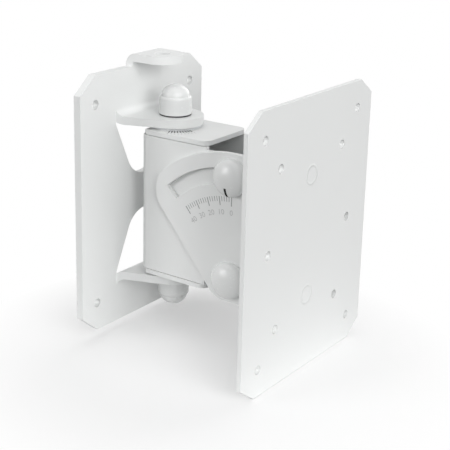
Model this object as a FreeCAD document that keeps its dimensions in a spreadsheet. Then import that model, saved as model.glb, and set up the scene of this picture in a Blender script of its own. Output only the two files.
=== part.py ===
import FreeCAD, Part
import math
import os
import Sketcher

# A speaker wall bracket of folded sheet steel: a wall plate with two ears, a box that swivels
# between them, and a fork that tilts on the box and carries the plate for the speaker.
# Frame: +Z up, +X to the right, the wall at +Y. The origin is the middle of the wall plate's back.

# Driving dimensions in millimetres and degrees
SIZES = {
    # wall plate, its ears, windows and eye tab
    "wall_width": 144.0, "wall_height": 195.0, "wall_sheet": 6.0, "wall_corner_x": 16.0,
    "wall_corner_z": 13.0, "wall_span_x": 112.0, "wall_span_z": 152.0, "wall_hole": 7.0,
    "ear_gap": 115.0, "ear_root": 67.0, "ear_reach": 29.0, "ear_nose": 21.0, "ear_bend": 6.0,
    "window_tip": 14.0, "window_nose": 21.0,
    "tab_width": 30.0, "tab_reach": 16.7, "tab_rise": 9.8, "tab_eye": 12.0, "tab_bend": 3.0,
    # swivel box
    "box_width": 51.3, "box_sheet": 3.5, "box_bend": 1.5,
    "flange_reach": 47.2, "flange_corner": 7.0, "flange_slit": 0.4,
    "lobe_radius": 15.0, "lobe_top": 14.0, "lobe_slope": 45.0,
    # tilt fork
    "pivot_reach": 72.2, "pivot_drop": 40.0, "slot_radius": 75.5, "slot_width": 11.5,
    "slot_end_gap": 0.2, "tilt_range": 40.0, "fan_radius": 92.3, "fan_corner": 20.0,
    "fan_slope": 40.0, "foot_side": 20.7, "foot_drop": 17.0, "foot_corner": 14.0,
    "fork_sheet": 4.0, "fork_bend": 2.5,
    # speaker plate
    "plate_reach": 42.0, "plate_drop": 4.5, "plate_width": 160.0, "plate_height": 200.0,
    "plate_sheet": 3.5, "plate_corner_x": 16.0, "plate_corner_z": 11.5, "plate_hole": 6.6,
    "outer_span_x": 120.0, "outer_span_z": 160.0, "inner_span_x": 80.0, "inner_span_z": 114.0,
    "middle_span_x": 105.0,
    # bolts, nuts, washers and sleeves
    "bolt_size": 10.0, "hex_across": 16.0, "head_height": 6.4, "nut_height": 8.0,
    "bolt_proud": 3.0, "washer_radius": 10.0, "washer_sheet": 2.0, "sleeve_radius": 8.0,
    "disc_radius": 20.0, "disc_sheet": 1.9,
    # tall caps over the nuts and low caps over the heads
    "cap_radius": 13.0, "cap_shoulder": 12.6, "cap_skirt": 15.0, "cap_height": 23.0,
    "dome_radius": 10.5, "cap_lift": 1.0, "low_radius": 13.5, "low_rim": 3.0, "low_height": 9.6,
    # clearances: turning pieces, bolt holes, the cap's grip on the hexagon, heads beside the web
    "running_gap": 0.1, "hole_gap": 0.2, "grip_gap": 0.15, "head_gap": 0.4,
}

doc = FreeCAD.newDocument("speaker_wall_bracket")
sheet = doc.addObject("Spreadsheet::Sheet", "Sizes")
pieces = []


class Size:
    """A length, angle or ratio that knows its number and the expression that gives it."""

    def __init__(self, number, text=None):
        self.number = float(number)
        self.text = text if text else repr(self.number)

    def __add__(self, other):
        other = as_size(other)
        return Size(self.number + other.number, f"({self.text} + {other.text})")

    def __sub__(self, other):
        other = as_size(other)
        return Size(self.number - other.number, f"({self.text} - {other.text})")

    def __mul__(self, other):
        other = as_size(other)
        return Size(self.number * other.number, f"({self.text} * {other.text})")

    def __truediv__(self, other):
        other = as_size(other)
        return Size(self.number / other.number, f"({self.text} / {other.text})")

    def __neg__(self):
        return Size(-self.number, f"(0 - {self.text})")

    def __radd__(self, other):
        return as_size(other) + self

    def __rsub__(self, other):
        return as_size(other) - self

    def __rmul__(self, other):
        return as_size(other) * self


def as_size(value):
    return value if isinstance(value, Size) else Size(value)


def sine(angle):
    return Size(math.sin(math.radians(angle.number)), f"sin({angle.text})")


def cosine(angle):
    return Size(math.cos(math.radians(angle.number)), f"cos({angle.text})")


def tangent(angle):
    return Size(math.tan(math.radians(angle.number)), f"tan({angle.text})")


def arcsine(ratio):
    return Size(math.degrees(math.asin(ratio.number)), f"(asin({ratio.text}) / 1 deg)")


def root(value):
    return Size(math.sqrt(value.number), f"sqrt({value.text})")


def fill_sheet():
    """One row for each size: its name, and its number in a cell with that name as alias."""
    sizes = {}
    for row, (name, number) in enumerate(SIZES.items(), start=1):
        sheet.set(f"A{row}", name)
        sheet.set(f"B{row}", str(number))
        sheet.setAlias(f"B{row}", name)
        sizes[name] = Size(number, f"Sizes.{name}")
    doc.recompute()
    return sizes


S = fill_sheet()


def bind(thing, path, value):
    thing.setExpression(path, as_size(value).text)


# Places worked out from the sizes
front = -S["wall_sheet"]                            # front face of the wall plate
yaw_y = front - S["ear_reach"]                      # the upright axis that the box turns on
ear_in = S["ear_gap"] / 2
ear_out = ear_in + S["wall_sheet"]
flange_out = ear_in - S["disc_sheet"] - S["running_gap"]
flange_in = flange_out - S["box_sheet"]
cheek_edge = flange_in - S["flange_slit"]
box_half = S["box_width"] / 2
cheek_in = box_half - S["box_sheet"]
box_rear = yaw_y + S["hex_across"] / 2 + S["head_gap"] + S["box_sheet"]
flange_front = yaw_y - S["flange_reach"]
pivot_y = yaw_y - S["pivot_reach"]                  # the level axis that the fork tilts on
pivot_z = -S["pivot_drop"]
clamp_z = pivot_z + S["slot_radius"]
fork_in = box_half + S["running_gap"]
fork_out = fork_in + S["fork_sheet"]
plate_rear = pivot_y - S["plate_reach"]
plate_z = -S["plate_drop"]
shank = S["bolt_size"] / 2
bolt_bore = shank + S["hole_gap"]
turning_bore = shank + S["running_gap"]
hex_radius = S["hex_across"] / 2 / cosine(Size(30))


def vector(x, y, z=0.0):
    return FreeCAD.Vector(as_size(x).number, as_size(y).number, as_size(z).number)


def arc_between(start, end, radius, turn):
    """The arc under half a turn from start to end, turning left where turn is 1."""
    chord = end - start
    rise = math.sqrt(radius ** 2 - (chord.Length / 2) ** 2)
    side = FreeCAD.Vector(-chord.y, chord.x, 0).normalize() * (rise * turn)
    centre = (start + end) * 0.5 + side
    middle = centre - side.normalize() * radius
    return Part.Arc(start, middle, end)


def add_outline(sketch, path):
    """Adds a closed outline. Each corner is (x, y), or (x, y, radius, turn) where an arc leaves it."""
    first = len(sketch.Geometry)
    corners = [vector(step[0], step[1]) for step in path]
    count = len(path)
    ends = []
    for index, step in enumerate(path):
        start, end = corners[index], corners[(index + 1) % count]
        if len(step) == 2:
            sketch.addGeometry(Part.LineSegment(start, end), False)
            ends.append((1, 2))
        else:
            sketch.addGeometry(arc_between(start, end, step[2].number, step[3]), False)
            ends.append((1, 2) if step[3] > 0 else (2, 1))
    for index, step in enumerate(path):
        this, following = first + index, first + (index + 1) % count
        sketch.addConstraint(Sketcher.Constraint("Coincident", this, ends[index][1], following,
                                                 ends[(index + 1) % count][0]))
        for kind, value in (("DistanceX", step[0]), ("DistanceY", step[1])):
            number = as_size(value).number
            made = sketch.addConstraint(
                Sketcher.Constraint(kind, -1, 1, this, ends[index][0], number))
            bind(sketch, f"Constraints[{made}]", value)
        if len(step) > 2:
            made = sketch.addConstraint(Sketcher.Constraint("Radius", this, step[2].number))
            bind(sketch, f"Constraints[{made}]", step[2])


def add_circle(sketch, x, y, radius):
    made = sketch.addGeometry(Part.Circle(vector(x, y), FreeCAD.Vector(0, 0, 1), radius.number), False)
    for kind, value in (("DistanceX", x), ("DistanceY", y)):
        number = as_size(value).number
        bind(sketch, "Constraints[%d]" % sketch.addConstraint(
            Sketcher.Constraint(kind, -1, 1, made, 3, number)), value)
    bind(sketch, "Constraints[%d]" % sketch.addConstraint(
        Sketcher.Constraint("Radius", made, radius.number)), radius)


def new_body(name):
    body = doc.addObject("PartDesign::Body", name + "_body")
    body.Label = name
    return body


def new_sketch(body, name, plane, level=0.0):
    """A sketch on one of the body's origin planes, lifted along that plane's normal."""
    sketch = body.newObject("Sketcher::SketchObject", name)
    support = [part for part in body.Origin.OriginFeatures if part.Role == plane][0]
    sketch.AttachmentSupport = [(support, "")]
    sketch.MapMode = "FlatFace"
    sketch.AttachmentOffset = FreeCAD.Placement(vector(0, 0, level), FreeCAD.Rotation())
    bind(sketch, "AttachmentOffset.Base.z", level)
    return sketch


def add_pad(body, sketch, length, both_ways=False):
    pad = body.newObject("PartDesign::Pad", sketch.Name + "_pad")
    pad.Profile = sketch
    pad.Length = length.number
    bind(pad, "Length", length)
    pad.Midplane = both_ways
    doc.recompute()
    return pad


def add_pocket(body, sketch, length=None):
    """Cuts the sketch both ways from its plane: through everything, or over the length."""
    before = body.Tip.Shape.Volume
    pocket = body.newObject("PartDesign::Pocket", sketch.Name + "_pocket")
    pocket.Profile = sketch
    pocket.Midplane = True
    if length:
        pocket.Length = length.number
        bind(pocket, "Length", length)
    else:
        pocket.Type = 1
    doc.recompute()
    if pocket.Shape.Volume >= before:
        raise RuntimeError(sketch.Name + " cuts nothing")
    return pocket


def add_fillet(body, name, radius, chosen):
    """Rounds the edges of the body's tip for which chosen(edge's middle, edge) is true."""
    base = body.Tip
    names = []
    for index, edge in enumerate(base.Shape.Edges, start=1):
        if chosen(edge.BoundBox.Center, edge):
            names.append(f"Edge{index}")
    fillet = body.newObject("PartDesign::Fillet", name)
    fillet.Base = (base, names)
    fillet.Radius = radius.number
    bind(fillet, "Radius", radius)
    doc.recompute()
    return fillet


def near(value, size):
    return abs(value - as_size(size).number) < 0.02


def runs_along(edge, axis):
    """True for a straight edge along the axis, given as 0, 1 or 2."""
    box = edge.BoundBox
    spans = (box.XLength, box.YLength, box.ZLength)
    return spans[axis] > 0.5 and all(span < 1e-4 for i, span in enumerate(spans) if i != axis)


def keep(piece, label):
    piece.Label = label
    pieces.append(piece)
    return piece


def cut_corner_plate(name, middle):
    """Outline of a plate with its four corners cut off, from the sizes that start with its name."""
    half_width, half_height = S[name + "_width"] / 2, S[name + "_height"] / 2
    path = []
    for sx, sz in ((1, -1), (1, 1), (-1, 1), (-1, -1)):
        inner = (sx * (half_width - S[name + "_corner_x"]), middle + sz * half_height)
        outer = (sx * half_width, middle + sz * (half_height - S[name + "_corner_z"]))
        path += [inner, outer] if sx * sz < 0 else [outer, inner]
    return path


def nose_touch(half_root, reach, radius):
    """Where the side of a tongue, from its root's corner, touches its round nose: across, along."""
    distance = root(half_root * half_root + reach * reach)
    flare = arcsine(half_root / distance) - arcsine(radius / distance)
    return radius * cosine(flare), radius * sine(flare)


def make_wall_plate():
    body = new_body("wall_plate")
    outline = new_sketch(body, "wall_outline", "XZ_Plane")
    add_outline(outline, cut_corner_plate("wall", Size(0)))
    add_pad(body, outline, S["wall_sheet"])

    # each ear is cut free along its window's edge and bent forward at the window's outer end
    windows = new_sketch(body, "wall_windows", "XZ_Plane")
    ear_half, nose = S["ear_root"] / 2, S["window_nose"]
    centre = S["window_tip"] + nose
    across, along = nose_touch(ear_half, ear_in - centre, nose)
    for side in (1, -1):
        touch_z = side * (centre - along)
        add_outline(windows, [(ear_half, side * ear_in), (across, touch_z, nose, -side),
                              (-across, touch_z), (-ear_half, side * ear_in)])
    add_pocket(body, windows)

    nose = S["ear_nose"]
    across, along = nose_touch(ear_half, S["ear_reach"], nose)
    for name, level in (("upper_ear", ear_in), ("lower_ear", -ear_out)):
        ear = new_sketch(body, name, "XY_Plane", level)
        add_outline(ear, [(ear_half, Size(0)), (ear_half, front), (across, yaw_y - along, nose, -1),
                          (-across, yaw_y - along), (-ear_half, front), (-ear_half, Size(0))])
        add_pad(body, ear, S["wall_sheet"])
    bores = new_sketch(body, "ear_bores", "XY_Plane")
    add_circle(bores, Size(0), yaw_y, turning_bore)
    add_pocket(body, bores)

    tab_top = S["wall_height"] / 2 + S["tab_rise"]
    stub = new_sketch(body, "tab_stub", "XZ_Plane")
    half = S["tab_width"] / 2
    low = S["wall_height"] / 2 - S["wall_sheet"]
    add_outline(stub, [(half, low), (half, tab_top), (-half, tab_top), (-half, low)])
    add_pad(body, stub, S["wall_sheet"])
    tab = new_sketch(body, "tab_outline", "XY_Plane", tab_top - S["wall_sheet"])
    tab_eye_y = front - S["tab_reach"]
    add_outline(tab, [(half, Size(0)), (half, tab_eye_y, half, -1), (Size(0), tab_eye_y - half, half, -1),
                      (-half, tab_eye_y), (-half, Size(0))])
    add_pad(body, tab, S["wall_sheet"])

    eye = new_sketch(body, "tab_eye", "XY_Plane", tab_top)
    add_circle(eye, Size(0), tab_eye_y, S["tab_eye"] / 2)
    add_pocket(body, eye, S["wall_sheet"] * 3)
    wall_holes = new_sketch(body, "wall_holes", "XZ_Plane")
    for sx in (1, -1):
        for sz in (1, -1):
            add_circle(wall_holes, sx * S["wall_span_x"] / 2, sz * S["wall_span_z"] / 2,
                       S["wall_hole"] / 2)
    add_pocket(body, wall_holes)

    add_fillet(body, "ear_inner_bends", S["ear_bend"], lambda at, edge: runs_along(edge, 0)
               and near(at.y, front) and near(abs(at.z), ear_out))
    bend = S["ear_bend"] + S["wall_sheet"]
    bends = new_sketch(body, "ear_outer_bends", "YZ_Plane")
    for side in (1, -1):
        add_outline(bends, [(Size(0), side * ear_in), (Size(0), side * (ear_in + bend), bend, -side),
                            (-bend, side * ear_in)])
    add_pocket(body, bends, S["ear_root"])
    add_fillet(body, "tab_inner_bend", S["tab_bend"], lambda at, edge: runs_along(edge, 0)
               and near(at.y, front) and near(at.z, tab_top - S["wall_sheet"]))
    add_fillet(body, "tab_outer_bend", S["tab_bend"] + S["wall_sheet"],
               lambda at, edge: runs_along(edge, 0) and near(at.y, 0) and near(at.z, tab_top))
    return keep(body, "wall_plate")


def make_swivel_box():
    body = new_body("swivel_box")
    plan = new_sketch(body, "box_plan", "XY_Plane")
    outer, inner = S["box_bend"] + S["box_sheet"], S["box_bend"]
    web = box_rear - S["box_sheet"]
    add_outline(plan, [
        (box_half, flange_front), (box_half, box_rear - outer, outer, 1),
        (box_half - outer, box_rear), (outer - box_half, box_rear, outer, 1),
        (-box_half, box_rear - outer), (-box_half, flange_front), (-cheek_in, flange_front),
        (-cheek_in, web - inner, inner, -1), (inner - cheek_in, web),
        (cheek_in - inner, web, inner, -1), (cheek_in, web - inner), (cheek_in, flange_front)])
    add_pad(body, plan, cheek_edge * 2, both_ways=True)

    # the cheeks reach forward of the flanges, inside the fork's ears, to carry the two tilt bolts
    slope, lobe, cap = S["lobe_slope"], S["lobe_radius"], S["lobe_top"]
    touch_y, touch_z = pivot_y + lobe * cosine(slope), pivot_z - lobe * sine(slope)
    start_y = flange_front + S["box_sheet"] * 2
    start_z = touch_z + (start_y - touch_y) / tangent(slope)
    cheek_front, cheek_top = pivot_y - lobe, clamp_z + cap
    path = [(start_y, start_z), (start_y, cheek_top), (cheek_front + cap, cheek_top, cap, 1),
            (cheek_front, clamp_z), (cheek_front, pivot_z, lobe, 1),
            (pivot_y, pivot_z - lobe, lobe, 1), (touch_y, touch_z)]
    for name, level in (("right_cheek", cheek_in), ("left_cheek", -box_half)):
        cheek = new_sketch(body, name, "YZ_Plane", level)
        add_outline(cheek, path)
        add_pad(body, cheek, S["box_sheet"])

    corner = S["flange_corner"]
    outline = [(box_half - outer, box_rear), (outer - box_half, box_rear),
               (-box_half, box_rear - outer), (-box_half, flange_front + corner, corner, 1),
               (corner - box_half, flange_front), (box_half - corner, flange_front, corner, 1),
               (box_half, flange_front + corner), (box_half, box_rear - outer)]
    link = [(box_half - outer, box_rear), (outer - box_half, box_rear), (outer - box_half, web),
            (box_half - outer, web)]
    for name, level in (("upper", flange_in), ("lower", -flange_out)):
        flange = new_sketch(body, name + "_flange", "XY_Plane", level)
        add_outline(flange, outline)
        link_level = cheek_edge - S["box_sheet"] if name == "upper" else -flange_in
        neck = new_sketch(body, name + "_neck", "XY_Plane", link_level)
        add_outline(neck, link)
        add_pad(body, neck, flange_in - cheek_edge + S["box_sheet"])
        add_pad(body, flange, S["box_sheet"])

    yaw_bores = new_sketch(body, "yaw_bores", "XY_Plane")
    add_circle(yaw_bores, Size(0), yaw_y, bolt_bore)
    add_pocket(body, yaw_bores)
    tilt_bores = new_sketch(body, "tilt_bores", "YZ_Plane")
    add_circle(tilt_bores, pivot_y, pivot_z, bolt_bore)
    add_circle(tilt_bores, pivot_y, clamp_z, bolt_bore)
    add_pocket(body, tilt_bores)
    add_fillet(body, "flange_bends", S["box_sheet"], lambda at, edge: runs_along(edge, 0)
               and near(at.y, box_rear) and near(abs(at.z), flange_out))
    return keep(body, "swivel_box")


def standing_sketch(name, turn):
    """A sketch outside any body, turned to its plane, for an extrusion."""
    sketch = doc.addObject("Sketcher::SketchObject", name)
    sketch.Placement = FreeCAD.Placement(FreeCAD.Vector(), turn)
    return sketch


def extrude(sketch, start, length):
    """A straight extrusion along the sketch's normal, from start on."""
    made = doc.addObject("Part::Extrusion", sketch.Name + "_solid")
    made.Base = sketch
    made.DirMode = "Normal"
    made.Solid = True
    bind(made, "LengthFwd", start + length)
    bind(made, "LengthRev", -start)
    return made


TO_YZ = FreeCAD.Rotation(FreeCAD.Vector(1, 1, 1), 120)


def fan_outline():
    """Side view of the fork's ear, (y, z): a foot under the pivot, a straight edge and a fan's arc."""
    slope, side, corner, fan = S["fan_slope"], S["foot_side"], S["fan_corner"], S["fan_radius"]
    bottom, toe = S["foot_drop"], S["foot_corner"]
    along_y, along_z = sine(slope), cosine(slope)           # up the straight edge
    out_y, out_z = cosine(slope), -sine(slope)              # square to it, away from the pivot
    toe_y = (side - toe - sine(slope) * (bottom - toe)) / cosine(slope)
    toe_z = toe - bottom                                    # centre of the foot's rounded corner
    reach = root((fan - corner) * (fan - corner) - (side - corner) * (side - corner))
    round_y = out_y * (side - corner) + along_y * reach     # centre of the fan's rounded corner
    round_z = out_z * (side - corner) + along_z * reach
    grow = fan / (fan - corner)
    return [
        (plate_rear, pivot_z - bottom), (pivot_y + toe_y, pivot_z - bottom, toe, 1),
        (pivot_y + toe_y + out_y * toe, pivot_z + toe_z + out_z * toe),
        (pivot_y + round_y + out_y * corner, pivot_z + round_z + out_z * corner, corner, 1),
        (pivot_y + round_y * grow, pivot_z + round_z * grow, fan, 1),
        (pivot_y, pivot_z + fan), (plate_rear, pivot_z + fan)]


def slot_outline():
    """The arc slot, (y, z), concentric with the pivot, with square ends a bolt's width past the range."""
    inner, outer = S["slot_radius"] - S["slot_width"] / 2, S["slot_radius"] + S["slot_width"] / 2
    past = arcsine((shank + S["slot_end_gap"]) / S["slot_radius"])
    rear, ahead = S["tilt_range"] + past, -past
    corners = []
    for radius, angle in ((outer, rear), (outer, ahead), (inner, ahead), (inner, rear)):
        corners.append((pivot_y + radius * sine(angle), pivot_z + radius * cosine(angle)))
    return [corners[0] + (outer, 1), corners[1], corners[2] + (inner, -1), corners[3]]


def make_tilt_fork():
    plan = standing_sketch("fork_plan", FreeCAD.Rotation())
    outer, inner = S["fork_bend"] + S["fork_sheet"], S["fork_bend"]
    open_end, web = pivot_y + S["fan_radius"], plate_rear + S["fork_sheet"]
    add_outline(plan, [
        (fork_out, open_end), (fork_in, open_end), (fork_in, web + inner, inner, -1),
        (fork_in - inner, web), (inner - fork_in, web, inner, -1), (-fork_in, web + inner),
        (-fork_in, open_end), (-fork_out, open_end), (-fork_out, plate_rear + outer, outer, 1),
        (outer - fork_out, plate_rear), (fork_out - outer, plate_rear, outer, 1),
        (fork_out, plate_rear + outer)])
    channel = extrude(plan, pivot_z - S["foot_drop"], S["fan_radius"] + S["foot_drop"])
    side = standing_sketch("fork_side", TO_YZ)
    add_outline(side, fan_outline())
    ears = extrude(side, -fork_out, fork_out * 2)
    folded = doc.addObject("Part::Common", "folded_fork")
    folded.Base, folded.Tool = channel, ears
    cuts = standing_sketch("fork_cuts", TO_YZ)
    add_outline(cuts, slot_outline())
    add_circle(cuts, pivot_y, pivot_z, turning_bore)
    cutter = extrude(cuts, -fork_out, fork_out * 2)
    fork = doc.addObject("Part::Cut", "tilt_fork_cut")
    fork.Base, fork.Tool = folded, cutter
    return keep(fork, "tilt_fork")


def make_speaker_plate():
    body = new_body("speaker_plate")
    outline = new_sketch(body, "plate_outline", "XZ_Plane", -plate_rear)
    add_outline(outline, cut_corner_plate("plate", plate_z))
    add_pad(body, outline, S["plate_sheet"])
    holes = new_sketch(body, "plate_holes", "XZ_Plane", -plate_rear)
    radius = S["plate_hole"] / 2
    for sx in (1, -1):
        for sz in (1, -1):
            add_circle(holes, sx * S["outer_span_x"] / 2, plate_z + sz * S["outer_span_z"] / 2, radius)
            add_circle(holes, sx * S["inner_span_x"] / 2, plate_z + sz * S["inner_span_z"] / 2, radius)
        add_circle(holes, sx * S["middle_span_x"] / 2, plate_z, radius)
    add_pocket(body, holes)
    return keep(body, "speaker_plate")


# Hardware is made standing on z = 0 along +Z, then seated facing one of these ways
FACING = {
    "up": FreeCAD.Rotation(),
    "down": FreeCAD.Rotation(FreeCAD.Vector(1, 0, 0), 180),
    "right": FreeCAD.Rotation(FreeCAD.Vector(0, 1, 0), 90),
    "left": FreeCAD.Rotation(FreeCAD.Vector(0, 1, 0), -90),
}


def seat(piece, label, facing, x, y, z):
    piece.Placement = FreeCAD.Placement(vector(x, y, z), FACING[facing])
    bind(piece, "Placement.Base.x", x)
    bind(piece, "Placement.Base.y", y)
    bind(piece, "Placement.Base.z", z)
    return keep(piece, label)


def cylinder(name, radius, low, height):
    made = doc.addObject("Part::Cylinder", name)
    bind(made, "Radius", radius)
    bind(made, "Height", height)
    bind(made, "Placement.Base.z", low)
    return made


def hexagon(name, circumradius, low, height):
    made = doc.addObject("Part::Prism", name)
    made.Polygon = 6
    bind(made, "Circumradius", circumradius)
    bind(made, "Height", height)
    bind(made, "Placement.Base.z", low)
    return made


def join(name, base, tool):
    made = doc.addObject("Part::Fuse", name)
    made.Base, made.Tool = base, tool
    return made


def cut(name, base, *tools):
    for index, tool in enumerate(tools):
        made = doc.addObject("Part::Cut", f"{name}_{index}")
        made.Base, made.Tool = base, tool
        base = made
    return base


def ring(label, radius, bore, height, facing, x, y, z):
    """A washer, disc or sleeve."""
    outer = cylinder(label + "_outer", radius, Size(0), height)
    hole = cylinder(label + "_bore", bore, Size(0), height)
    return seat(cut(label + "_ring", outer, hole), label, facing, x, y, z)


def bevelled_hexagon(name, height):
    """A hexagon whose corners are turned off at its top, as on a nut or a bolt's head."""
    prism = hexagon(name + "_prism", hex_radius, Size(0), height)
    cone = doc.addObject("Part::Cone", name + "_cone")
    rise = hex_radius - S["hex_across"] / 2
    bind(cone, "Radius1", hex_radius + (height - rise * 0.5))
    bind(cone, "Radius2", S["hex_across"] / 2)
    bind(cone, "Height", height)
    made = doc.addObject("Part::Common", name + "_hexagon")
    made.Base, made.Tool = prism, cone
    return made


def hex_bolt(label, length, facing, x, y, z):
    """A hexagon bolt: its head stands on z = 0 and its shank hangs below."""
    head = bevelled_hexagon(label, S["head_height"])
    stem = cylinder(label + "_stem", shank, -length, length)
    return seat(join(label + "_bolt", head, stem), label, facing, x, y, z)


def hex_nut(label, facing, x, y, z):
    hole = cylinder(label + "_bore", turning_bore, Size(0), S["nut_height"])
    return seat(cut(label + "_nut", bevelled_hexagon(label, S["nut_height"]), hole),
                label, facing, x, y, z)


def hex_cap(label, facing, x, y, z):
    """A tall domed cap that grips a nut: z = 0 is the surface that the washer lies on."""
    lift, stack = S["cap_lift"], S["washer_sheet"] + S["nut_height"]
    skirt = doc.addObject("Part::Cone", label + "_skirt")
    bind(skirt, "Radius1", S["cap_radius"])
    bind(skirt, "Radius2", S["cap_shoulder"])
    bind(skirt, "Height", S["cap_skirt"])
    bind(skirt, "Placement.Base.z", lift)
    dome = doc.addObject("Part::Sphere", label + "_dome")
    bind(dome, "Radius", S["dome_radius"])
    bind(dome, "Placement.Base.z", lift + S["cap_height"] - S["dome_radius"])
    mouth = cylinder(label + "_mouth", S["washer_radius"] + S["grip_gap"], Size(0),
                     S["washer_sheet"] + S["grip_gap"])
    grip = hexagon(label + "_grip", hex_radius + S["grip_gap"], Size(0), stack + S["grip_gap"])
    end = cylinder(label + "_end", turning_bore + S["hole_gap"], Size(0),
                   stack + S["bolt_proud"] + S["hole_gap"])
    shell = cut(label + "_shell", join(label + "_form", skirt, dome), mouth, grip, end)
    return seat(shell, label, facing, x, y, z)


def low_cap(label, facing, x, y, z):
    """A low domed cap that grips a bolt's head: z = 0 is the surface that the head lies on."""
    rim = cylinder(label + "_rim", S["low_radius"], Size(0), S["low_rim"])
    dome = doc.addObject("Part::Ellipsoid", label + "_dome")
    bind(dome, "Radius1", S["low_height"] - S["low_rim"])
    bind(dome, "Radius2", S["low_radius"])
    bind(dome, "Radius3", S["low_radius"])
    dome.Angle1 = 0
    bind(dome, "Placement.Base.z", S["low_rim"])
    grip = hexagon(label + "_grip", hex_radius + S["grip_gap"], Size(0),
                   S["head_height"] + S["grip_gap"])
    shell = cut(label + "_shell", join(label + "_form", rim, dome), grip)
    return seat(shell, label, facing, x, y, z)


def make_yaw_hardware():
    """Above and below: a bolt inside the box, a friction disc, and washer, nut and cap on the ear."""
    bolt_length = (S["box_sheet"] + S["running_gap"] + S["disc_sheet"] + S["wall_sheet"]
                   + S["washer_sheet"] + S["nut_height"] + S["bolt_proud"])
    for name, facing, back, sign in (("upper", "up", "down", 1), ("lower", "down", "up", -1)):
        place = (Size(0), yaw_y)
        ring(name + "_friction_disc", S["disc_radius"], bolt_bore, S["disc_sheet"], facing,
             *place, sign * flange_out)
        hex_bolt(name + "_yaw_bolt", bolt_length, back, *place, sign * flange_in)
        ring(name + "_yaw_washer", S["washer_radius"], bolt_bore, S["washer_sheet"], facing,
             *place, sign * ear_out)
        hex_nut(name + "_yaw_nut", facing, *place, sign * (ear_out + S["washer_sheet"]))
        hex_cap(name + "_yaw_cap", facing, *place, sign * ear_out)


def make_tilt_hardware():
    """Two bolts right through the box and the fork, each with a sleeve between the cheeks."""
    bolt_length = fork_out * 2 + S["washer_sheet"] + S["nut_height"] + S["bolt_proud"]
    for name, level in (("pivot", pivot_z), ("clamp", clamp_z)):
        hex_bolt(name + "_bolt", bolt_length, "left", -fork_out, pivot_y, level)
        low_cap(name + "_cap_left", "left", -fork_out, pivot_y, level)
        ring(name + "_sleeve", S["sleeve_radius"], bolt_bore, cheek_in * 2, "right",
             -cheek_in, pivot_y, level)
        ring(name + "_washer", S["washer_radius"], bolt_bore, S["washer_sheet"], "right",
             fork_out, pivot_y, level)
        hex_nut(name + "_nut", "right", fork_out + S["washer_sheet"], pivot_y, level)
        hex_cap(name + "_cap_right", "right", fork_out, pivot_y, level)


def check_and_write():
    doc.recompute()
    for thing in doc.Objects:
        if "Invalid" in thing.State or "Error" in thing.State:
            raise RuntimeError(f"{thing.Name} ({thing.Label}) failed: {thing.State}")
    for piece in pieces:
        shape = piece.Shape
        if shape.isNull() or not shape.isValid() or not shape.Solids:
            raise RuntimeError(piece.Label + " has no valid solid")
    os.makedirs("parts", exist_ok=True)
    for piece in pieces:
        piece.Shape.exportStep(f"parts/{piece.Label}.step")
        print(piece.Label, len(piece.Shape.Solids), "solid", round(piece.Shape.Volume, 1), "mm3")


make_wall_plate()
make_swivel_box()
make_tilt_fork()
make_speaker_plate()
make_yaw_hardware()
make_tilt_hardware()
check_and_write()
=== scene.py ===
# %% [markdown]
# # A wall bracket for a loudspeaker
#
# The object is a white powder-coated steel bracket. A wall plate has two ears bent out of its
# own sheet, a folded box swivels between the ears, and a fork with two fan-shaped sides tilts on
# the box and carries the speaker plate. Domed plastic caps cover the nuts and the bolt heads.
#
# The exact solids come from a CAD model. This lesson gives them their finish: soft edges, the
# powder coat, the caps, the angle scales, and the light and camera of a product photograph.
# One way would be to model everything again by hand. Starting from the CAD parts is better here,
# because every hole and bend is then already in its place.

import math

import bmesh
import bpy
from mathutils import Matrix, Vector


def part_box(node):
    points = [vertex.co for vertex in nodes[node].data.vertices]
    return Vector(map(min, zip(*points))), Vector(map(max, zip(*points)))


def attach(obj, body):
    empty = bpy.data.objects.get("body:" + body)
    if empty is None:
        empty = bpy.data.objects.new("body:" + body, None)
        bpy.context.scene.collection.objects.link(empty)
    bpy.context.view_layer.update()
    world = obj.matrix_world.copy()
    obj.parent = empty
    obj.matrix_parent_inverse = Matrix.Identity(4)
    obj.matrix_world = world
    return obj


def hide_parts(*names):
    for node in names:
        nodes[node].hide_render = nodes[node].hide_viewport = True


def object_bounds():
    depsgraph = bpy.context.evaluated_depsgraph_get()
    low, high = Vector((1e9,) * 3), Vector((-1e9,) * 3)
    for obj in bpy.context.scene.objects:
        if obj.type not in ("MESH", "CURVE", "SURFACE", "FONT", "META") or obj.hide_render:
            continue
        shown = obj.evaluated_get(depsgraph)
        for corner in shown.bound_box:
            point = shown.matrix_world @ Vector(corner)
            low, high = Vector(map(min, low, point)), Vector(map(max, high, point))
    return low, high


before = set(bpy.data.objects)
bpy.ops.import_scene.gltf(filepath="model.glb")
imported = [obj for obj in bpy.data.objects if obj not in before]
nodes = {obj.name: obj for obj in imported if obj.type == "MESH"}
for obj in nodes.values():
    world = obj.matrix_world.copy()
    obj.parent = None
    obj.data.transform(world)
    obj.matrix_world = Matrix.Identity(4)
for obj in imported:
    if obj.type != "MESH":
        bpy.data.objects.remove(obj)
cad_box = [list(corner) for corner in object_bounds()]
scene = bpy.context.scene

MM = 0.001


def in_mm(place):
    return [round(value / MM, 1) for value in place]


print("CAD parts:", len(nodes))
print("CAD box in mm:", [in_mm(corner) for corner in cad_box])

# %% [markdown]
# ## Where things are
#
# A maker works from a few lines: the yaw axis the box turns on, the pivot the fork tilts on, and
# the outer face of the fork where the tilt scale sits. They could be typed in, but reading them
# from the parts keeps every extra piece in its place when a part changes.

# %% Read the main lines from the parts
def middle(name):
    low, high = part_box(name)
    return (low + high) / 2


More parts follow.
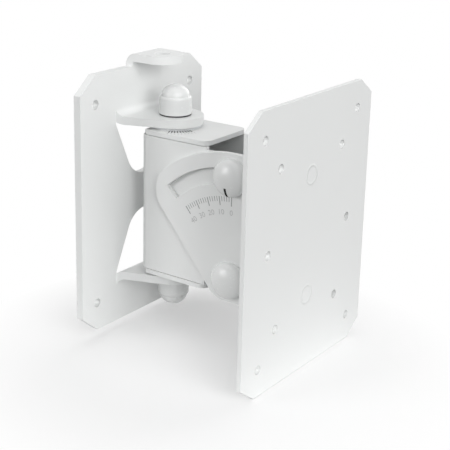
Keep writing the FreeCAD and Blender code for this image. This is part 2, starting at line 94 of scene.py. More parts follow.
pivot = middle("pivot_bolt")
clamp = middle("clamp_bolt")
yaw_axis = middle("upper_yaw_bolt")
fork_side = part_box("tilt_fork")[0].x
flange_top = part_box("swivel_box")[1].z
print("pivot", in_mm(pivot), "clamp", in_mm(clamp))
print("yaw axis", in_mm(yaw_axis), "fork face", in_mm([fork_side]))

# %% [markdown]
# ## One way to add any node
#
# Blender's materials and its Geometry Nodes are both trees of nodes. They could be clicked
# together, but in a script one short function can add any of them: it takes the node's type,
# its settings, and then the values or links of its sockets. A socket is called by its name, or
# by its place in the list, such as in0, where two sockets share a name.

# %% A function that adds any node
def add_node(tree, kind, settings=None, **sockets):
    node = tree.nodes.new(kind)
    for name, value in (settings or {}).items():
        setattr(node, name, value)
    for name, value in sockets.items():
        fill_socket(tree, find_socket(node, name), value)
    return node


def find_socket(node, name):
    if name.startswith("in") and name[2:].isdigit():
        return node.inputs[int(name[2:])]
    wanted = name.replace("_", " ").lower()
    for socket in node.inputs:
        if socket.enabled and socket.name.lower() == wanted:
            return socket
    raise KeyError(f"{node.bl_idname} has no socket {name}")


def fill_socket(tree, socket, value):
    if isinstance(value, Number):
        value = value.socket
    if isinstance(value, bpy.types.NodeSocket):
        tree.links.new(value, socket)
    else:
        socket.default_value = value


# %% [markdown]
# ## Sums on a surface
#
# Fine texture is made from sums, such as noise times a small number. Each sum is a Math node,
# and a row of them is hard to read. This small class wraps a socket, so that an ordinary Python
# expression adds the Math nodes by itself.

# %% A number that lives in a node tree
class Number:
    def __init__(self, tree, socket):
        self.tree = tree
        self.socket = socket

    def combine(self, operation, first, second):
        settings = {"operation": operation}
        sums = add_node(self.tree, "ShaderNodeMath", settings, in0=first, in1=second)
        return Number(self.tree, sums.outputs[0])

    def __add__(self, other):
        return self.combine("ADD", self, other)

    def __radd__(self, other):
        return self.combine("ADD", other, self)

    def __sub__(self, other):
        return self.combine("SUBTRACT", self, other)

    def __rsub__(self, other):
        return self.combine("SUBTRACT", other, self)

    def __mul__(self, other):
        return self.combine("MULTIPLY", self, other)

    def __rmul__(self, other):
        return self.combine("MULTIPLY", other, self)

    def __truediv__(self, other):
        return self.combine("DIVIDE", self, other)

    def clamped(self):
        low = self.combine("MAXIMUM", self, 0.0)
        return low.combine("MINIMUM", low, 1.0)

    def size_only(self):
        return self.combine("ABSOLUTE", self, 0.0)

    def root(self):
        return self.combine("POWER", self, 0.5)

    def sine(self):
        return self.combine("SINE", self, 0.0)

    def cosine(self):
        return self.combine("COSINE", self, 0.0)


# %% [markdown]
# ## The start of a finish
#
# Each finish is a material whose texture follows the object itself, so that it stays put when
# the camera moves or the bracket swivels. The helper gives the shader and the object's own
# coordinates. Its methods give noise, a colour that wanders between two close ones, an uneven
# roughness and fine bumps. Their grain sizes and depths are in millimetres.

# %% Helpers for the finishes
class Finish:
    def __init__(self, name):
        self.material = bpy.data.materials.new(name)
        self.material.use_nodes = True
        self.tree = self.material.node_tree
        self.shader = self.tree.nodes["Principled BSDF"]
        self.place = self.node("ShaderNodeTexCoord").outputs["Object"]

    def node(self, kind, settings=None, **sockets):
        return add_node(self.tree, kind, settings, **sockets)

    def set(self, **values):
        for name, value in values.items():
            fill_socket(self.tree, find_socket(self.shader, name), value)

    def along(self, axis):
        parts = self.node("ShaderNodeSeparateXYZ", Vector=self.place)
        return Number(self.tree, parts.outputs[axis])

    def noise(self, grain, detail=2.0):
        scale = 1.0 / (grain * MM)
        noise = self.node("ShaderNodeTexNoise", Vector=self.place, Scale=scale, Detail=detail)
        return Number(self.tree, noise.outputs["Fac"])

    def mottle(self, grain, low, high, detail=2.0):
        mix = self.node(
            "ShaderNodeMix",
            {"data_type": "RGBA"},
            Factor=self.noise(grain, detail),
            in6=(*low, 1),
            in7=(*high, 1),
        )
        self.set(Base_Color=mix.outputs[2])

    def rough(self, grain, least, spread):
        self.set(Roughness=(self.noise(grain) * spread + least).clamped())

    def bumps(self, height, depth, strength):
        bump = self.node("ShaderNodeBump", Height=height, Distance=depth * MM, Strength=strength)
        self.set(Normal=bump.outputs[0])


print("ways to shape a finish:", [name for name in vars(Finish) if not name.startswith("_")])

# %% [markdown]
# ## Powder coat
#
# The steel is sprayed with dry white powder that melts into a tough skin. It is satin, not
# glossy, and close up it has the fine ripple called orange peel. A picture of paint could be
# used, but two noises do it at any distance: a small one for the ripple and a broad faint one
# for the slight change of tone over a big sheet.

# %% Make the powder coat
WHITE_LOW = (0.775, 0.785, 0.78)
WHITE_HIGH = (0.8, 0.81, 0.805)
RIPPLE_GRAIN = 0.9


def coat_base(name):
    coat = Finish(name)
    coat.mottle(grain=60.0, low=WHITE_LOW, high=WHITE_HIGH, detail=3.0)
    coat.rough(grain=4.0, least=0.42, spread=0.06)
    return coat


powder = coat_base("powder_coat")
powder.bumps(powder.noise(RIPPLE_GRAIN, detail=1.0), depth=0.05, strength=0.35)
print("powder coat:", powder.material.name)

# %% [markdown]
# ## The speaker plate's coat
#
# The fork is welded to the back of the speaker plate, and two weld spots show through as faint
# round marks on its front. They could be modelled as rings, but they are shallower than a hair,
# so a ripple in the coat around two points is the honest way to show them.

# %% Make the coat with the two weld marks
WELD_HEIGHT = 44.0
WELD_RADIUS = 6.6
WELD_RIM = 1.3
WELD_DEPTH = 0.4
RIPPLE_SHARE = 0.03


def weld_mark(coat, height):
    across = coat.along("X") / MM
    up = coat.along("Z") / MM - height
    distance = (across * across + up * up).root()
    off_ring = (distance - WELD_RADIUS).size_only()
    return (1.0 - off_ring / WELD_RIM).clamped()


plate_middle = middle("speaker_plate").z / MM
upper_weld = plate_middle + WELD_HEIGHT
lower_weld = plate_middle - WELD_HEIGHT

welded = coat_base("powder_coat_welded")
marks = weld_mark(welded, upper_weld) + weld_mark(welded, lower_weld)
ripple = welded.noise(RIPPLE_GRAIN, detail=1.0) * RIPPLE_SHARE
welded.bumps(ripple + marks, depth=WELD_DEPTH, strength=1.0)
print("weld marks at", round(upper_weld, 1), "and", round(lower_weld, 1), "mm")

# %% [markdown]
# ## The other finishes
#
# The caps are moulded plastic, a little smoother than the coat. The bolts and nuts are zinc
# plated, so they are a metal with a soft grain. The friction discs have a thin pale coat. The
# tilt scale is printed in grey with paler numbers, and the pointer is black. The swivel scale's
# main lines are printed too, but they are black as painted shade for the ear's shadow on them.
# Each needs only its own numbers.

# %% Make the cap plastic, the zinc, the disc coat and the inks
plastic = Finish("cap_plastic")
plastic.mottle(grain=25.0, low=WHITE_LOW, high=WHITE_HIGH)
plastic.rough(grain=3.0, least=0.24, spread=0.05)
plastic.bumps(plastic.noise(0.6, detail=1.0), depth=0.02, strength=0.25)

zinc = Finish("zinc_steel")
zinc.set(Metallic=1.0)
zinc.mottle(grain=5.0, low=(0.58, 0.59, 0.61), high=(0.68, 0.69, 0.71))
zinc.rough(grain=1.5, least=0.28, spread=0.12)

disc_coat = Finish("disc_steel")
disc_coat.mottle(grain=8.0, low=(0.62, 0.63, 0.64), high=(0.7, 0.71, 0.72))
disc_coat.rough(grain=2.0, least=0.4, spread=0.1)


def ink(name, low, high):
    finish = Finish(name)
    finish.mottle(grain=3.0, low=low, high=high)
    finish.rough(grain=2.0, least=0.7, spread=0.1)
    finish.set(Specular_IOR_Level=0.2)
    return finish


grey_ink = ink("scale_ink", low=(0.33, 0.335, 0.335), high=(0.38, 0.385, 0.385))
pale_ink = ink("number_ink", low=(0.5, 0.505, 0.505), high=(0.55, 0.555, 0.555))
# Black is the pointer's real ink. On the swivel scale's main lines it is also painted shade.
black_ink_and_painted_shade = ink("black_ink_and_painted_shade", low=(0.004, 0.004, 0.004), high=(0.008, 0.008, 0.008))
print("finishes:", [material.name for material in bpy.data.materials])

# %% [markdown]
# ## From points to a piece
#
# Most pieces below are built point by point in a bmesh, Blender's mesh for editing. One helper
# turns it into plain mesh data. A second one first merges points that meet, so that no seam is
# left open, and then turns every face outwards. A third makes an object of the data, gives it
# one finish and lets it ride on a part of the bracket. The last says what was made.

# %% Helpers that finish a piece
SAME_POINT = 0.0001


def to_data(name, mesh):
    data = bpy.data.meshes.new(name)
    mesh.to_mesh(data)
    mesh.free()
    return data


def to_closed_data(name, mesh):
    bmesh.ops.remove_doubles(mesh, verts=mesh.verts, dist=SAME_POINT * MM)
    bmesh.ops.recalc_face_normals(mesh, faces=mesh.faces)
    return to_data(name, mesh)


def as_piece(name, data, finish, body, smooth=True):
    piece = bpy.data.objects.new(name, data)
    scene.collection.objects.link(piece)
    data.materials.clear()
    data.materials.append(finish.material)
    for face in data.polygons:
        face.use_smooth = smooth
        face.material_index = 0
    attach(piece, body)
    return piece


def tell(piece):
    print(piece.name, len(piece.data.polygons), "faces")


print("piece maker ready")

# %% [markdown]
# ## Soft edges on folded sheet
#
# Powder melts round every cut edge, so no edge of the real sheet is knife sharp, and each one
# catches a thin line of light. The CAD sheets have sharp edges. Their loose triangles are
# welded and flat areas joined first, and then a bevel of under half a millimetre rounds only
# the edges that turn by more than 25 degrees, and leaves the bends and round holes as they are.

# %% Soften the four sheets
SHARP_TURN = math.radians(25)
FLAT_TURN = math.radians(0.6)
SAME_PLACE = 0.002
SHEETS = {
    "wall_plate": ("wall", powder, 0.45),
    "swivel_box": ("swivel", powder, 0.35),
    "tilt_fork": ("carrier", powder, 0.35),
    "speaker_plate": ("carrier", welded, 0.4),
}


def welded_copy(name):
    mesh = bmesh.new()
    mesh.from_mesh(nodes[name].data)
    bmesh.ops.remove_doubles(mesh, verts=mesh.verts, dist=SAME_PLACE * MM)
    bmesh.ops.dissolve_limit(mesh, angle_limit=FLAT_TURN, verts=mesh.verts, edges=mesh.edges)
    return to_data(name + "_coated", mesh)


def soften(piece, width):
    piece.data.set_sharp_from_angle(angle=SHARP_TURN)
    bevel = piece.modifiers.new("soft edges", "BEVEL")
    bevel.width = width * MM
    bevel.segments = 2
    bevel.limit_method = "ANGLE"
    bevel.angle_limit = SHARP_TURN
    bevel.harden_normals = True


for name, (body, finish, width) in SHEETS.items():
    sheet = as_piece(name + "_coated", welded_copy(name), finish, body)
    soften(sheet, width)
    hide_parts(name)
    tell(sheet)

# %% [markdown]
# ## Turned shapes
#
# A cap is round, so its shape is one outline turned about an axis, as on a lathe. A Spin or a
# Screw modifier could do it. Here the points are set ring by ring, which closes both poles
# cleanly and lets one function stand a cap on any face of the bracket.

# %% Turn an outline about an axis
def on_circle(radius, step, count):
    turn = 2 * math.pi * step / count
    return radius * math.cos(turn), radius * math.sin(turn)


def join_rings(mesh, low, high, count):
    for step in range(count):
        after = (step + 1) % count
        corners = [low[step % len(low)], low[after % len(low)]]
        corners += [high[after % len(high)], high[step % len(high)]]
        unique = list(dict.fromkeys(corners))
        if len(unique) > 2:
            mesh.faces.new(unique)


def turned(name, outline, base, facing, segments=96):
    mesh = bmesh.new()
    rings = []
    for radius, height in outline:
        count = segments if radius > 0 else 1
        circle = [on_circle(radius * MM, step, count) for step in range(count)]
        rings.append([mesh.verts.new((x, y, height * MM)) for x, y in circle])
    for low, high in zip(rings, rings[1:]):
        join_rings(mesh, low, high, segments)
    data = to_closed_data(name, mesh)
    stand = Vector((0, 0, 1)).rotation_difference(Vector(facing)).to_matrix().to_4x4()
    data.transform(Matrix.Translation(base) @ stand)
    return data


def foot_of(node, facing):
    low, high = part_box(node)
    base = (low + high) / 2
    for axis in range(3):
        if facing[axis] > 0:
            base[axis] = low[axis]
        elif facing[axis] < 0:
            base[axis] = high[axis]
    return base


def arc(centre_radius, centre_height, radius, height, start, end, steps):
    points = []
    for step in range(steps + 1):
        turn = math.radians(start + (end - start) * step / steps)
        across = centre_radius + radius * math.cos(turn)
        points.append((across, centre_height + height * math.sin(turn)))
    return points


print("the upper cap will stand at", in_mm(foot_of("upper_yaw_cap", (0, 0, 1))), "mm")

# %% [markdown]
# ## Tall domed caps
#
# Each nut has a tall cap: a slightly tapered skirt, a narrow rim that catches the light, and a
# dome a little narrower than the skirt. The inside is hollow, so that the cap can sit over the
# nut. The outline goes from the mouth up the outside and back down the inside.

# %% Make the tall caps
CAP_MOUTH = 12.2
MOUTH_EDGE = 0.5
CAP_RIM = 11.8
CAP_SKIRT = 13.4
SHOULDER_WIDTH = 1.5
SHOULDER_HEIGHT = 2.2
SHOULDER_STEP = 0.1
DOME_RADIUS = 10.4
DOME_FOOT = 13.2
CAP_TOP = 21.6
NUT_ROOM = 9.6
NUT_DEPTH = 17.0
NUT_EDGE = 0.6
NUT_LEAD = 0.4
CAP_CREASE = math.radians(38)


def tall_outline():
    foot = CAP_MOUTH - MOUTH_EDGE
    shoulder = CAP_SKIRT - SHOULDER_HEIGHT
    outside = [(foot, 0.0)]
    outside += arc(foot, MOUTH_EDGE, MOUTH_EDGE, MOUTH_EDGE, -90, 0, 4)[1:]
    outside += [(CAP_RIM, shoulder - SHOULDER_STEP)]
    outside += arc(CAP_RIM - SHOULDER_WIDTH, shoulder, SHOULDER_WIDTH, SHOULDER_HEIGHT, 8, 72, 6)
    outside += arc(0.0, DOME_FOOT, DOME_RADIUS, CAP_TOP - DOME_FOOT, 0, 90, 18)[:-1]
    outside += [(0.0, CAP_TOP)]
    inside = [(0.0, NUT_DEPTH), (NUT_ROOM - NUT_EDGE, NUT_DEPTH), (NUT_ROOM, NUT_DEPTH - NUT_EDGE)]
    inside += [(NUT_ROOM, NUT_LEAD), (NUT_ROOM + NUT_LEAD, 0.0), (foot, 0.0)]
    return outside + inside


def cap_on(node, outline, facing):
    name = node + "_moulded"
    data = turned(name, outline, foot_of(node, facing), facing)
    piece = as_piece(name, data, plastic, "swivel")
    piece.data.set_sharp_from_angle(angle=CAP_CREASE)
    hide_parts(node)
    tell(piece)


for node, facing in (
    ("upper_yaw_cap", (0, 0, 1)),
    ("lower_yaw_cap", (0, 0, -1)),
    ("pivot_cap_right", (1, 0, 0)),
    ("clamp_cap_right", (1, 0, 0)),
):
    cap_on(node, tall_outline(), facing)

# %% [markdown]
# ## Low caps over the bolt heads
#
# On the left each tilt bolt's head has a lower cap, a short rim and a shallow dome. It is turned
# in the same way from a shorter outline.

# %% Make the low caps
LOW_RADIUS = 13.5
LOW_DOME = 13.4
LOW_RIM = 3.0
LOW_TOP = 9.6
LOW_EDGE = 0.3
LOW_STEP = 0.4
HEAD_ROOM = 9.6
HEAD_DEPTH = 7.0


def low_outline():
    foot = (LOW_RADIUS - LOW_EDGE, 0.0)
    outside = [foot, (LOW_RADIUS, LOW_EDGE), (LOW_RADIUS, LOW_RIM - LOW_STEP)]
    outside += arc(0.0, LOW_RIM, LOW_DOME, LOW_TOP - LOW_RIM, 3, 90, 22)[:-1]
    outside += [(0.0, LOW_TOP)]
    inside = [(0.0, HEAD_DEPTH), (HEAD_ROOM, HEAD_DEPTH), (HEAD_ROOM, LOW_EDGE)]
    inside += [(HEAD_ROOM + LOW_EDGE, 0.0), foot]
    return outside + inside


for node in ("pivot_cap_left", "clamp_cap_left"):
    cap_on(node, low_outline(), (-1, 0, 0))

# %% [markdown]
# ## The black pointer
#
# A black line runs down the clamp's cap to the tilt scale and shows the angle. It could be a
# stripe in the cap's material. As a thin strip laid on the dome it stays crisp, and it can have
# its own ink. The strip starts a little inside the dome, so that it has no gap under it.

# %% Lay the pointer on the clamp's cap
POINTER_INNER = 5.9
POINTER_OUTER = 13.35
POINTER_HALF = 0.88
POINTER_SUNK = 0.25
POINTER_PROUD = 0.05
POINTER_STEPS = 16
ROUND_THE_STRIP = (0, 1, 3, 2)


def dome_reach(radius):
    share = min(1.0, radius / LOW_DOME)
    return LOW_RIM + (LOW_TOP - LOW_RIM) * math.sqrt(1 - share * share)


def pointer_row(mesh, radius):
    row = []
    for across in (-POINTER_HALF, POINTER_HALF):
        dome = dome_reach(math.hypot(radius, across))
        for lift in (-POINTER_SUNK, POINTER_PROUD):
            x = fork_side - (dome + lift) * MM
            row.append(mesh.verts.new((x, clamp.y + across * MM, clamp.z - radius * MM)))
    return [row[index] for index in ROUND_THE_STRIP]


def pointer_mesh():
    mesh = bmesh.new()
    length = POINTER_OUTER - POINTER_INNER
    rows = []
    for step in range(POINTER_STEPS + 1):
        rows.append(pointer_row(mesh, POINTER_INNER + length * step / POINTER_STEPS))
    for first, second in zip(rows, rows[1:]):
        join_rings(mesh, first, second, len(first))
    mesh.faces.new(rows[0])
    mesh.faces.new(rows[-1])
    return to_closed_data("tilt_pointer", mesh)


tell(as_piece("tilt_pointer", pointer_mesh(), black_ink_and_painted_shade, "swivel", smooth=False))

# %% [markdown]
# ## Ticks on an arc
#
# Both angle scales are the same thing at two sizes: a row of fine bars on an arc. Geometry Nodes
# suit a row that follows a rule. The tree lays out a number of points, turns and places one flat
# bar at each, and its inputs have plain names, so both scales share it.

# %% Name the tick tree's inputs
TICK_INPUTS = {
    "Count": ("NodeSocketInt", 5),
    "First angle": ("NodeSocketFloat", 0.0),
    "Step": ("NodeSocketFloat", 0.1),
    "Inner radius": ("NodeSocketFloat", 0.05),
    "Length": ("NodeSocketFloat", 0.005),
    "Width": ("NodeSocketFloat", 0.0005),
    "Thickness": ("NodeSocketFloat", 0.0001),
    "Ink": ("NodeSocketMaterial", None),
}

ticks = bpy.data.node_groups.new("ticks on an arc", "GeometryNodeTree")
for name, (kind, value) in TICK_INPUTS.items():
    socket = ticks.interface.new_socket(name, in_out="INPUT", socket_type=kind)
    if value is not None:
        socket.default_value = value
ticks.interface.new_socket("Geometry", in_out="OUTPUT", socket_type="NodeSocketGeometry")
given = add_node(ticks, "NodeGroupInput").outputs
print("tick inputs:", list(TICK_INPUTS))

# %% [markdown]
# ## Inside the tick tree
#
# A bar's number in the row gives its angle, and sine and cosine of that angle give its place.
# The bar itself is a very flat cube. At the end the copies are made real and get their ink,
# because a copy that isn't real is lost when the model is saved for other programs.

# %% Build the tick tree
def tick_number(name):
    return Number(ticks, given[name])


def add_tick(kind, **sockets):
    return add_node(ticks, kind, **sockets).outputs[0]


index = Number(ticks, add_tick("GeometryNodeInputIndex"))
angle = tick_number("First angle") + index * given["Step"]
radius = tick_number("Inner radius") + tick_number("Length") * 0.5
spot = add_tick("ShaderNodeCombineXYZ", X=angle.sine() * radius, Y=angle.cosine() * radius)
points = add_tick("GeometryNodePoints", Count=given["Count"], Position=spot)
size = add_tick(
    "ShaderNodeCombineXYZ", X=given["Width"], Y=given["Length"], Z=given["Thickness"]
)
bar = add_tick("GeometryNodeMeshCube", Size=size)
turn = add_tick("ShaderNodeCombineXYZ", Z=0.0 - angle)
rotation = add_tick("FunctionNodeEulerToRotation", Euler=turn)
row = add_tick("GeometryNodeInstanceOnPoints", Points=points, Instance=bar, Rotation=rotation)
real = add_tick("GeometryNodeRealizeInstances", Geometry=row)
inked = add_tick("GeometryNodeSetMaterial", Geometry=real, Material=given["Ink"])
add_node(ticks, "NodeGroupOutput", in0=inked)
print("tick tree:", len(ticks.nodes), "nodes")

# %% [markdown]
# ## From the tree to a plain mesh
#
# The finished bars have to be a plain mesh that lies in its place on the bracket. The tree runs
# once on an empty object, its result is copied, and the modifier goes away again. A row's angles
# are its count, first angle and step in degrees. A bar is its distance from the middle, its
# length, its width and its depth, all in millimetres.

# %% Run the tick tree
def plain_mesh(name, maker, place):
    graph = bpy.context.evaluated_depsgraph_get()
    data = bpy.data.meshes.new_from_object(maker.evaluated_get(graph), depsgraph=graph)
    maker.modifiers.clear()
    bpy.data.objects.remove(maker)
    data.name = name
    data.transform(place)
    return data


def tick_mesh(name, place, finish, angles, bar):
    count, first, step = angles
    inner, length, width, depth = bar
    values = {
        "Count": count,
        "First angle": math.radians(first),
        "Step": math.radians(step),
        "Inner radius": inner * MM,
        "Length": length * MM,
        "Width": width * MM,
        "Thickness": depth * MM,
        "Ink": finish.material,
    }
    maker = bpy.data.objects.new(name + "_maker", bpy.data.meshes.new(name + "_maker"))
    scene.collection.objects.link(maker)
    modifier = maker.modifiers.new("ticks", "NODES")
    modifier.node_group = ticks
    for socket in ticks.interface.items_tree:
        if socket.in_out == "INPUT":
            modifier[socket.identifier] = values[socket.name]
    return plain_mesh(name, maker, place)


def joined(name, parts):
    mesh = bmesh.new()
    for part in parts:
        mesh.from_mesh(part)
    return to_closed_data(name, mesh)


print("tick maker ready")

# %% [markdown]
# ## The tilt scale
#
# The left side of the fork carries a scale of 0 to 40 degrees about the pivot: a long line at
# every ten degrees and short ones at every two. Zero is straight above the pivot, and the rest
# run towards the wall, so that the number under the pointer is the plate's tilt.

# %% Mark the tilt scale
TILT_RADIUS = 61.0
TILT_LIMIT = 40
LONG_EVERY = 10
LONG_TICK = 6.5
LONG_WIDTH = 0.7
SHORT_EVERY = 2
SHORT_TICK = 3.6
SHORT_WIDTH = 0.5
TICK_DEPTH = 0.06
FINE_DEPTH = 0.048

# The flat scale is drawn with its zero along +Y and the angles towards +X. On the fork that zero
# points up, and the angles run towards the wall, and the face looks to the left.
fork_face = Matrix.Translation((fork_side, pivot.y, pivot.z)) @ Matrix(
    ((0, 0, -1, 0), (1, 0, 0, 0), (0, 1, 0, 0), (0, 0, 0, 1))
)
rows = []
for name, every, length, width, depth in (
    ("tilt_long", LONG_EVERY, LONG_TICK, LONG_WIDTH, TICK_DEPTH),
    ("tilt_short", SHORT_EVERY, SHORT_TICK, SHORT_WIDTH, FINE_DEPTH),
):
    angles = (TILT_LIMIT // every + 1, 0, every)
    bar = (TILT_RADIUS - length, length, width, depth)
    rows.append(tick_mesh(name, fork_face, grey_ink, angles, bar))
tell(as_piece("tilt_scale", joined("tilt_scale", rows), grey_ink, "carrier", smooth=False))

# %% [markdown]
# ## Numbers on the tilt scale
#
# The numbers 0 to 40 stand inside the long lines. Blender's text object draws them, and each is
# made a plain mesh before it is put on the fork, because a text object can't carry a place in
# its own points.

# %% Write the numbers
NUMBER_RADIUS = 49.5
NUMBER_SIZE = 5.6
NUMBER_DEPTH = 0.03

# The drawing's third direction points out of the fork's face, to the left, so each number is
# mirrored back to read from the left.
MIRRORED = Matrix.Scale(-1, 4, (1, 0, 0))


def number_mesh(text, place):
    name = "number " + text
    curve = bpy.data.curves.new(name, "FONT")
    curve.body = text
    curve.size = NUMBER_SIZE * MM
    curve.extrude = NUMBER_DEPTH * MM
    curve.resolution_u = 3
    curve.align_x = "CENTER"
    curve.align_y = "CENTER"
    writer = bpy.data.objects.new(name, curve)
    scene.collection.objects.link(writer)
    return plain_mesh(name, writer, place)


numbers = []
for degrees in range(0, TILT_LIMIT + 1, LONG_EVERY):
    around = Matrix.Rotation(-math.radians(degrees), 4, "Z")
    outward = Matrix.Translation((0, NUMBER_RADIUS * MM, 0))
    numbers.append(number_mesh(str(degrees), fork_face @ around @ outward @ MIRRORED))
tell(as_piece("tilt_numbers", joined("tilt_numbers", numbers), pale_ink, "carrier", smooth=False))

# %% [markdown]
# ## The swivel scale
#
# The top of the box has a second scale beside the ear's round nose, on the left. Printed lines
# fan out from the yaw axis, painted black as painted shade for the ear's shadow over them, and a
# pale row lies outside them. The same tree makes them, laid flat this time.

# %% Mark the swivel scale
SWIVEL_COUNT = 9
SWIVEL_FIRST = -22.0
SWIVEL_STEP = -5.3
# The main lines' black is partly print and partly painted shade from the ear.
SWIVEL_ROWS = (
    ("swivel_scale", black_ink_and_painted_shade, 20.0, 4.0, 0.85, TICK_DEPTH),
    ("swivel_tens", pale_ink, 26.0, 2.6, 0.45, FINE_DEPTH),
)

flange_face = Matrix.Translation((0, yaw_axis.y, flange_top)) @ Matrix(
    ((1, 0, 0, 0), (0, -1, 0, 0), (0, 0, 1, 0), (0, 0, 0, 1))
)
for name, finish, inner, length, width, depth in SWIVEL_ROWS:
    angles = (SWIVEL_COUNT, SWIVEL_FIRST, SWIVEL_STEP)
    lines = tick_mesh(name, flange_face, finish, angles, (inner, length, width, depth))
    tell(as_piece(name, joined(name, [lines]), finish, "swivel", smooth=False))

# %% [markdown]
# ## Friction discs
#
# Between each ear and the box lies a thin disc whose rim is finely toothed, which grips the
# coat. The disc could stay plain, because only its rim shows. The teeth are made by drawing
# every second point of the rim in a little.

# %% Make the toothed discs
DISC_RADIUS = 20.0
DISC_POINTS = 144
TOOTH_DEPTH = 0.7
BOLT_ROOM = 5.2


def disc_ring(mesh, height, radius, notch=0.0):
    ring = []
    for step in range(DISC_POINTS):
        reach = radius if step % 2 else radius - notch
        x, y = on_circle(reach * MM, step, DISC_POINTS)
        ring.append(mesh.verts.new((x, yaw_axis.y + y, height)))
    return ring


def toothed_disc(name, node):
    low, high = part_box(node)
    mesh = bmesh.new()
    rings = [
        disc_ring(mesh, low.z, BOLT_ROOM),
        disc_ring(mesh, low.z, DISC_RADIUS, TOOTH_DEPTH),
        disc_ring(mesh, high.z, DISC_RADIUS, TOOTH_DEPTH),
        disc_ring(mesh, high.z, BOLT_ROOM),
    ]
    for index, ring in enumerate(rings):
        join_rings(mesh, ring, rings[(index + 1) % len(rings)], DISC_POINTS)
    return to_closed_data(name, mesh)


for end in ("upper", "lower"):
    node = end + "_friction_disc"
    name = node + "_toothed"
    disc = as_piece(name, toothed_disc(name, node), disc_coat, "swivel", smooth=False)
    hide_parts(node)
    tell(disc)

# %% [markdown]
# ## Washers painted as shade
#
# Under each swivel cap a thin dark line shows: the deep shadow in the gap where the cap's mouth
# stands over the washer. A shadow alone would come out grey between white parts, so the washer is
# painted near black as painted shade, and its rim is widened almost to the cap's width so that
# the dark band fills the gap. It is turned like the caps.

# %% Make the washers painted near black as shade
WASHER_RIM = 11.8
WASHER_EDGE = 0.1
WASHER_STEP = 9.9
WASHER_LIP = 0.95

# The near-black colour is painted shade: it stands in for the shadow gap under each cap.
painted_shade_black = Finish("dark_steel")
painted_shade_black.mottle(grain=4.0, low=(0.03, 0.03, 0.031), high=(0.05, 0.05, 0.052))
painted_shade_black.rough(grain=1.5, least=0.38, spread=0.1)
painted_shade_black.set(Metallic=0.4)


def washer_outline(thick):
    rim = [(WASHER_RIM - WASHER_EDGE, 0.0), (WASHER_RIM, WASHER_EDGE), (WASHER_RIM, WASHER_LIP)]
    step = [(WASHER_STEP, WASHER_LIP), (WASHER_STEP, thick)]
    return [(BOLT_ROOM, 0.0)] + rim + step + [(BOLT_ROOM, thick), (BOLT_ROOM, 0.0)]


for end, facing in (("upper", (0, 0, 1)), ("lower", (0, 0, -1))):
    node = end + "_yaw_washer"
    name = node + "_blackened"
    low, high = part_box(node)
    outline = washer_outline((high.z - low.z) / MM)
    data = turned(name, outline, foot_of(node, facing), facing, 64)
    washer = as_piece(name, data, painted_shade_black, "swivel", smooth=False)
    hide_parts(node)
    tell(washer)

# %% [markdown]
# ## Bolts, nuts, washers and sleeves
#
# These are hidden under caps and inside the box, and only glimpsed from below or behind. The CAD
# shapes are good enough, so they keep their shape and just get the zinc finish.

# %% Give the hardware its zinc
STEEL_WORDS = ("_bolt", "_nut", "_washer", "_sleeve")
hardware = [name for name in nodes if name.endswith(STEEL_WORDS)]
for name in hardware:
    data = nodes[name].data
    data.materials.clear()
    data.materials.append(zinc.material)
    for face in data.polygons:
        face.material_index = 0
print("zinc plated:", len(hardware))

# %% [markdown]
# ## Floor and background
#
# The bracket stands on white paper in the photograph, with a soft shadow and no horizon. A
# white floor alone would need strong lamps that burn out the paint. So near the bracket the
# paper is a real surface that takes the shadow, with a faint glow that only the camera and
# mirrored rays see. Further out it fades into plain white, again for those rays only.

# %% Lay the white floor
FLOOR_GAP = 0.2
FLOOR_RADIUS = 4000.0
FLOOR_SIDES = 64
PAPER_TONE = 0.72
PAPER_GLOW = 0.22
SHADE_X = -30.0
SHADE_Y = -90.0
SHADE_RADIUS = 100.0
SHADE_FADE = 90.0
PURE_WHITE = (1, 1, 1, 1)


def floor_mesh():
    mesh = bmesh.new()
    height = cad_box[0][2] - FLOOR_GAP * MM
    edge = [on_circle(FLOOR_RADIUS * MM, step, FLOOR_SIDES) for step in range(FLOOR_SIDES)]
    mesh.faces.new([mesh.verts.new((x, y, height)) for x, y in edge])
    return to_data("paper", mesh)


def seen_by_camera(tree):
    path = add_node(tree, "ShaderNodeLightPath")
    camera = Number(tree, path.outputs["Is Camera Ray"])
    gloss = Number(tree, path.outputs["Is Glossy Ray"])
    glass = Number(tree, path.outputs["Is Transmission Ray"])
    return (camera + gloss + glass).clamped()


def paper_glow(strength):
    return paper.node("ShaderNodeEmission", Color=PURE_WHITE, Strength=strength).outputs[0]


paper = Finish("paper")
paper.set(Base_Color=(PAPER_TONE, PAPER_TONE, PAPER_TONE, 1), Roughness=0.9)
across = paper.along("X") - SHADE_X * MM
along = paper.along("Y") - SHADE_Y * MM
distance = (across * across + along * along).root()
fade = ((distance - SHADE_RADIUS * MM) / (SHADE_FADE * MM)).clamped()
glow = paper_glow(seen_by_camera(paper.tree) * PAPER_GLOW)
lit = paper.node("ShaderNodeAddShader", in0=paper.shader.outputs[0], in1=glow)
white = paper_glow(seen_by_camera(paper.tree))
both = paper.node("ShaderNodeMixShader", in0=fade, in1=lit.outputs[0], in2=white)
ending = paper.tree.nodes["Material Output"]
paper.tree.links.new(both.outputs[0], ending.inputs[0])

floor = bpy.data.objects.new("paper", floor_mesh())
scene.collection.objects.link(floor)
floor.data.materials.append(paper.material)
print("floor at", in_mm([floor.data.vertices[0].co.z]), "mm")

# %% [markdown]
# ## The world's light
#
# The world gives the faint light that comes from all round a studio. The camera, and whatever
# mirrors the room, sees it as plain white.

# %% Set the world
FILL = 0.3

world = bpy.data.worlds.new("studio")
scene.world = world
world.use_nodes = True
sky = world.node_tree
sky.nodes.clear()
strength = seen_by_camera(sky) * (1.0 - FILL) + FILL
studio = add_node(sky, "ShaderNodeBackground", Color=PURE_WHITE, Strength=strength)
add_node(sky, "ShaderNodeOutputWorld", in0=studio.outputs[0])
print("world fill", FILL)

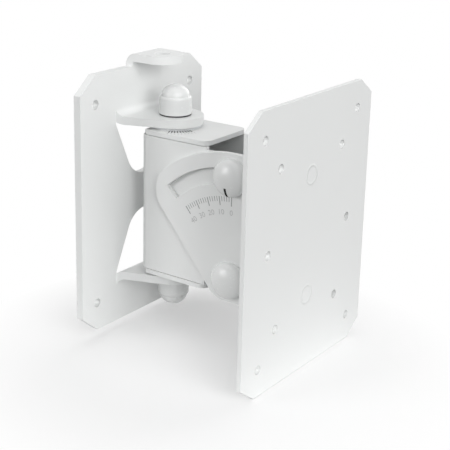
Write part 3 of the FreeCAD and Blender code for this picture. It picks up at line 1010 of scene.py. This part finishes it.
# %% [markdown]
# ## Five soft lamps
#
# The photograph has a wide light in front and a high one above it, a smaller one on the left,
# and one from above and behind that draws the shadow forward over the floor. The speaker plate
# keeps part of the front light off the pieces behind it. A fifth lamp, which the photograph
# can't show, lights the right side and the back, so that the bracket looks white from there too.
# Each power follows from the lamp's distance, so that white paint comes out about as bright as
# it is written. A lamp's direction is given by its angle round the bracket, from the front, and
# its angle above the floor, and its size is in metres.

# %% Hang the lamps
LAMP_TARGET = Vector((0, -80.0, 0)) * MM
LAMP_METRES = 4.0


def direction(azimuth, elevation):
    a, e = math.radians(azimuth), math.radians(elevation)
    return Vector((math.sin(a) * math.cos(e), -math.cos(a) * math.cos(e), math.sin(e)))


def soft_lamp(name, azimuth, elevation, size, level):
    away = direction(azimuth, elevation)
    light = bpy.data.lights.new(name, "AREA")
    light.shape = "SQUARE"
    light.size = size
    light.energy = level * (math.pi * LAMP_METRES) ** 2
    lamp = bpy.data.objects.new(name, light)
    scene.collection.objects.link(lamp)
    lamp.location = LAMP_TARGET + away * LAMP_METRES
    lamp.rotation_mode = "QUATERNION"
    lamp.rotation_quaternion = (-away).to_track_quat("-Z", "Y")
    print(name, round(light.energy), "W")


soft_lamp("front light", azimuth=-20.0, elevation=15.0, size=2.8, level=0.7)
soft_lamp("high light", azimuth=-40.0, elevation=33.0, size=3.0, level=0.26)
soft_lamp("left light", azimuth=-124.0, elevation=14.0, size=1.8, level=0.36)
soft_lamp("back light", azimuth=-170.0, elevation=74.0, size=3.4, level=0.22)
soft_lamp("right light", azimuth=84.0, elevation=22.0, size=3.0, level=0.33)

# %% [markdown]
# ## The camera
#
# The photograph looks from the left front, a little from above, through a long lens. Its place
# and lens were measured by laying the bracket's known corners over the picture. A lens measured
# that way comes out in pixels, and the sensor's width turns it into millimetres.

# %% Place the camera
CAMERA_PLACE = Vector((-646.9, -526.9, 261.2)) * MM
CAMERA_AZIMUTH = -53.031
CAMERA_ELEVATION = 17.0
CAMERA_ROLL = 0.733
LENS_PIXELS = 1133.8
PICTURE_PIXELS = 450
SENSOR_WIDTH = 36.0
LENS_SHIFT = 0.1


def camera_turn(azimuth, elevation, roll):
    a, r = math.radians(azimuth), math.radians(roll)
    back = direction(azimuth, elevation)
    right = Vector((math.cos(a), math.sin(a), 0))
    up = back.cross(right)
    rolled_right = right * math.cos(r) + up * math.sin(r)
    rolled_up = up * math.cos(r) - right * math.sin(r)
    return Matrix((rolled_right, rolled_up, back)).transposed().to_4x4()


eye = bpy.data.cameras.new("photograph")
eye.sensor_width = SENSOR_WIDTH
eye.lens = LENS_PIXELS / PICTURE_PIXELS * SENSOR_WIDTH
eye.shift_x = LENS_SHIFT
eye.shift_y = -LENS_SHIFT
eye.clip_start = 0.01
eye.clip_end = 50.0
camera = bpy.data.objects.new("photograph", eye)
scene.collection.objects.link(camera)
turn = camera_turn(CAMERA_AZIMUTH, CAMERA_ELEVATION, CAMERA_ROLL)
camera.matrix_world = Matrix.Translation(CAMERA_PLACE) @ turn
scene.camera = camera
scene.view_settings.view_transform = "Standard"
print("lens", round(eye.lens, 1), "mm")

# %% [markdown]
# ## The size
#
# Every piece should lie inside the box of the CAD parts.
